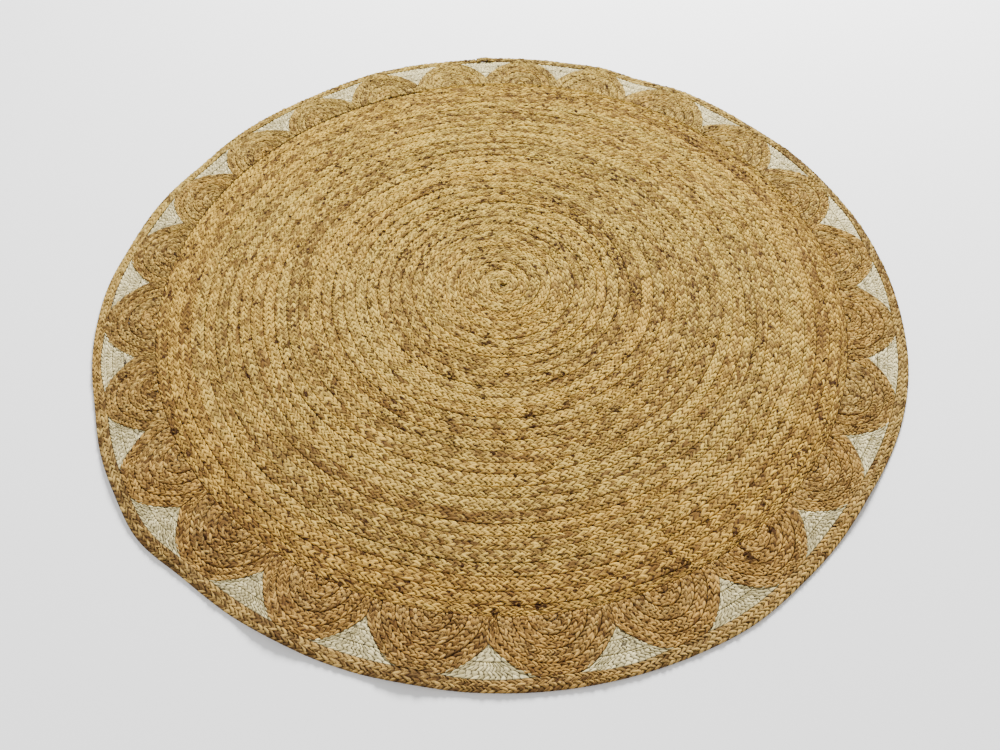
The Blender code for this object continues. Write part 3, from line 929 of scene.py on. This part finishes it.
class RUG_OT_disc(bpy.types.Operator):
    """Winds the disc's pair of plaits in a spiral from its rolled heart to its tapered end"""

    bl_idname = "rug.disc"
    bl_label = "Spiral Disc"

    def execute(self, context):
        """The line between two rows lies at a row times (1/2 + turns) from the heart and strays a
        little. The edges lie on it and on its next turn, pressed into the rows beside them.
        """
        sizes = context.scene.rug_plaits
        row = DISC_RADIUS / DISC_ROWS
        last = DISC_ROWS - 0.5 - TAPER_SHARE
        angle = np.linspace(HEART_ANGLE, 2 * math.pi * (last + 1), SPIRAL_STEPS)
        rng = np.random.default_rng(SEEDS["spiral"])
        stray = slow_noise(rng, (angle - HEART_ANGLE) * 6, SPIRAL_STRAY)
        line = row * (0.5 + angle / (2 * math.pi)) + stray * smooth(angle / 20)
        turn = angle[angle <= 2 * math.pi * last]
        inner = np.maximum(line[: len(turn)], 0.03 * row)
        outer = np.minimum(np.interp(turn + 2 * math.pi, angle, line), DISC_RADIUS)
        inner = np.minimum(inner, outer - 0.15 * row)
        inner = inner - np.minimum(PRESSED, inner / 2)
        outer = np.minimum(outer + PRESSED, DISC_RADIUS - SEAM / 2)
        edges = [plan_of(radius, np.degrees(turn)) for radius in (inner, outer)]
        heights = (sizes.jute_crest, sizes.crease, sizes.slant)
        grid = plait_grid(*edges, SEEDS["disc"], sizes.disc_pitch, *heights, DISC_FLECKS)
        radius = np.hypot(grid["top"][..., 0], grid["top"][..., 1])
        ring = smooth((radius - BROWN_RING) / 0.03)
        grid["yarn_hue"] += 1.8 * ring
        grid["yarn_tone"] -= 0.6 * ring
        ridge = ridge_share(grid)
        grid["top"][..., 2] -= GROOVE * ridge * np.abs(grid["across"]) ** 6
        # Painted light on rows that stand out: a painted highlight along each pair's middle and
        # painted shade along its edges
        grid["yarn_tone"] += 1.6 * ridge * (0.5 - np.abs(grid["across"]))
        material = yarn_material("straw_jute", "straw", JUTE, 0.5, 0.95)
        for number in range(DISC_PIECES):
            first = grid["count"] * number // DISC_PIECES
            end = grid["count"] * (number + 1) // DISC_PIECES
            strip = plait_piece(grid, first, end)
            name = f"disc_plait_{number + 1}"
            length = (end - first) * grid["step"]
            make_piece(name, strip, "disc", material, sizes.slant, row, length)
        return {"FINISHED"}


class RUG_OT_scallops(bpy.types.Operator):
    """Coils the rows of every scallop round its heart on the disc's edge"""

    bl_idname = "rug.scallops"
    bl_label = "Scallops"

    def execute(self, context):
        """The first row is one plait round the heart, and every other row is a pair."""
        sizes = context.scene.rug_plaits
        heights = (sizes.jute_crest, sizes.crease, sizes.slant)
        material = yarn_material("brown_jute", "brown", JUTE, 0.6, 0.85)
        for index in range(SCALLOPS):
            scallop = Scallop(index)
            grids = []
            for row, lines in enumerate(SCALLOP_ROWS):
                edges = [plan_of(*scallop.line(line / SCALLOP_LINES)) for line in lines]
                seed = SEEDS["scallop"] + index * 10 + row
                given = (seed, sizes.scallop_pitch, *heights, SCALLOP_FLECKS)
                grid = plait_grid(*edges, *given, plaits=lines[1] - lines[0])
                inside = (lines[1] < SCALLOP_LINES) | (grid["across"] < 0.99)
                grid["top"][..., 2] -= SCALLOP_GROOVE * (np.abs(grid["local"]) ** 6 * inside)
                # Painted light: the scallops' yarn is warmer on the shaded near side and less warm
                # on the lit far side
                grid["yarn_hue"] -= 1.3 * grid["top"][..., 1]
                # Painted shade: the scallops are darker towards their near left
                grid["yarn_tone"] = 0.5 * grid["yarn_tone"] + side_light_tone(grid, SCALLOP_SHADE_SIDES)
                grids.append(grid)
            given = ("brown_jute_plait", material, sizes.slant, scallop.depth * 2 / SCALLOP_LINES)
            sector_piece("scallop", index, grids, *given)
        return {"FINISHED"}


def gusset_lines(index):
    """Edge lines of a gusset's rows, from its tip to the border between two flanks, and the
    rows' width. Each keeps a whole number of rows to the border.
    """
    flanks = []
    for number, side in ((index - 1, 1), (index, -1)):
        scallop = Scallop(number % SCALLOPS)
        t = np.linspace(scallop.row_end(side, 1.0, SEAM, 0.0), 0, 400)
        radius, offset = scallop.place(side, 1.0, t, SEAM)
        flanks.append((radius, scallop.middle + side * np.degrees(offset)))
    middle, tip = TIPS[index]

    def line(drop):
        """Plan places on the line that lies drop inside the border."""
        bearings = np.linspace(middle - GUSSET_REACH, middle + GUSSET_REACH, 721)
        radius = border_inside(bearings) - drop
        low, high = (
            np.interp(radius, flank[0], (flank[1] - middle + 180) % 360 - 180 + middle)
            for flank in flanks
        )
        start, stop = bearings[(bearings >= low) & (bearings <= high)][[0, -1]]
        bearing = np.linspace(start, stop, 61)
        return plan_of(border_inside(bearing) - drop, bearing)

    depth = float(border_inside(middle)) + PRESSED - tip
    count = max(2, round(depth / GUSSET_ROW))
    drops = depth * (1 - np.arange(count + 1) / count) - PRESSED
    lines = [np.repeat(plan_of(tip, middle)[None], 61, axis=0)]
    lines += [line(drop) for drop in drops[1:]]
    return lines, depth / count


class RUG_OT_gussets(bpy.types.Operator):
    """Lays rows of cotton plait between the scallops and the border"""

    bl_idname = "rug.gussets"
    bl_label = "Cotton Gussets"

    def execute(self, context):
        """The rows run beside the border, each as long as the gap between the scallops there."""
        sizes = context.scene.rug_plaits
        heights = (sizes.cotton_crest, sizes.crease * COTTON_CREASE, COTTON_SLANT)
        material = yarn_material("off_white_cotton", "cotton", COTTON, 0.5, 1.0, COTTON_BUMP, 0.0)
        for index in range(SCALLOPS):
            lines, width = gusset_lines(index)
            grids = []
            for row, edges in enumerate(zip(lines, lines[1:])):
                seed = SEEDS["gusset"] + index * 10 + row
                grid = plait_grid(*edges, seed, sizes.gusset_pitch, *heights, COTTON_FLECKS)
                # Painted light and shade: lighter towards the far right, darker towards the near
                # left
                grid["yarn_tone"] += side_light_tone(grid, COTTON_LIGHT_SIDES)
                grids.append(grid)
            sector_piece("gusset", index, grids, "cotton_plait", material, COTTON_SLANT, width)
        return {"FINISHED"}


class RUG_OT_border(bpy.types.Operator):
    """Carries the border's pair of plaits round the rim, its end lapped over its start"""

    bl_idname = "rug.border"
    bl_label = "Border"

    def execute(self, context):
        """The edges follow the rim and the inside of the border, and the outer edge is rounded
        down. The start thins, and the thin end climbs over it.
        """
        sizes = context.scene.rug_plaits
        heights = (sizes.jute_crest, sizes.crease, sizes.slant)
        lap = math.degrees(BORDER_LAP / float(rim_radius(BORDER_START)))
        bearing = np.linspace(BORDER_START, BORDER_START + 360 + lap, 7201)
        inner = plan_of(border_inside(bearing), bearing)
        outer = plan_of(rim_radius(bearing), bearing)
        whole = np.hypot(*np.diff((inner + outer) / 2, axis=0).T).sum()
        thin = ((0, LAP_RUN, whole - LAP_RUN, whole - BORDER_LAP, whole), END_HEIGHTS)
        foot = ((0, whole - LAP_RUN - BORDER_LAP, whole - BORDER_LAP, whole), END_CLIMB)
        given = (SEEDS["border"], sizes.border_pitch, *heights, BORDER_FLECKS)
        grid = plait_grid(inner, outer, *given, foot=foot, thin=thin)
        grid["top"][..., 2] -= RIM_ROUND * np.clip(grid["across"], 0, 1) ** 2
        # Painted light and shade on the border: lighter everywhere but on the far side, and much
        # darker at the rim round 247°, where the lifted rim turns away from the light
        near = smooth((towards(grid, BORDER_SHADE_SIDES[0][0]) + 0.3) / 0.5)
        grid["yarn_tone"] += 0.9 * near + side_light_tone(grid, BORDER_SHADE_SIDES)
        material = yarn_material("golden_jute", "golden", JUTE, 0.45, 1.2)
        width = float(np.mean(rim_radius(bearing) - border_inside(bearing)))
        name = "border_plait"
        make_piece(name, plait_piece(grid), "border", material, sizes.slant, width, whole)
        return {"FINISHED"}


class RUG_OT_stage(bpy.types.Operator):
    """Makes the pale floor, the soft lights and the camera of the photograph"""

    bl_idname = "rug.stage"
    bl_label = "Stage"

    def execute(self, context):
        """The camera looks along +Y and down, from the place that the round outline gives."""
        settings = context.scene.rug_stage
        scene = context.scene
        mesh = bpy.data.meshes.new("floor")
        signs = ((-1, -1), (1, -1), (1, 1), (-1, 1))
        corners = [(x * FLOOR_HALF, y * FLOOR_HALF, FLOOR_HEIGHT) for x, y in signs]
        mesh.from_pydata(corners, [], [(0, 1, 2, 3)])
        floor = bpy.data.objects.new("floor", mesh)
        scene.collection.objects.link(floor)
        paint = bpy.data.materials.new("pale_floor")
        paint.use_nodes = True
        shader = paint.node_tree.nodes["Principled BSDF"]
        values = {"Base Color": tuple(settings.floor_colour), "Roughness": 0.9}
        feed(paint.node_tree, shader.inputs, values)
        mesh.materials.append(paint)

        for name, place, size, share in LAMPS:
            data = bpy.data.lights.new(name, "AREA")
            data.shape = "DISK"
            data.size = size
            data.energy = settings.key_power * share
            lamp = bpy.data.objects.new(name, data)
            lamp.location = place
            lamp.rotation_euler = (-Vector(place)).to_track_quat("-Z", "Y").to_euler()
            scene.collection.objects.link(lamp)
        world = bpy.data.worlds.new("studio")
        world.use_nodes = True
        background = world.node_tree.nodes["Background"]
        values = {"Color": (1.0, 1.0, 1.0), "Strength": settings.sky}
        feed(world.node_tree, background.inputs, values)
        scene.world = world

        data = bpy.data.cameras.new("camera")
        data.sensor_width = SENSOR_WIDTH
        data.lens = FOCAL_PIXELS * SENSOR_WIDTH / FRAME_WIDTH
        data.clip_start = 0.01
        camera = bpy.data.objects.new("camera", data)
        camera.matrix_world = (
            Matrix.Translation(CAMERA_PLACE)
            @ Matrix.Rotation(CAMERA_PITCH, 4, "X")
            @ Matrix.Rotation(CAMERA_ROLL, 4, "Z")
        )
        scene.collection.objects.link(camera)
        scene.camera = camera
        return {"FINISHED"}


class RUG_PT_panel(bpy.types.Panel):
    """Lists the rug's pieces and their settings"""

    bl_idname = "RUG_PT_panel"
    bl_label = "Round Plaited Rug"
    bl_space_type = "VIEW_3D"
    bl_region_type = "UI"
    bl_category = "Rug"

    def draw(self, context):
        scene = context.scene
        for settings in (scene.rug_plaits, scene.rug_colours, scene.rug_stage):
            for name in settings.bl_rna.properties.keys():
                if name not in ("rna_type", "name"):
                    self.layout.prop(settings, name)
        for operator in PIECE_OPERATORS:
            self.layout.operator(operator.bl_idname)


PIECE_OPERATORS = (RUG_OT_stage, RUG_OT_disc, RUG_OT_scallops, RUG_OT_gussets, RUG_OT_border)
SETTINGS = (RugPlaitSettings, RugColourSettings, RugStageSettings)
CLASSES = (*SETTINGS, *PIECE_OPERATORS, RUG_PT_panel)


def register():
    for cls in CLASSES:
        bpy.utils.register_class(cls)
    scene = bpy.types.Scene
    scene.rug_plaits, scene.rug_colours, scene.rug_stage = (
        bpy.props.PointerProperty(type=settings) for settings in SETTINGS
    )


def unregister():
    scene = bpy.types.Scene
    del scene.rug_stage, scene.rug_colours, scene.rug_plaits
    for cls in reversed(CLASSES):
        bpy.utils.unregister_class(cls)


def main():
    """Makes the stage and every piece."""
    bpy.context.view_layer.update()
    register()
    for other in [o for o in bpy.data.objects if o.name in ("Cube", "Light", "Camera")]:
        bpy.data.objects.remove(other, do_unlink=True)
    bpy.ops.rug.stage()
    bpy.ops.rug.disc()
    bpy.ops.rug.scallops()
    bpy.ops.rug.gussets()
    bpy.ops.rug.border()


if __name__ == "__main__":
    main()
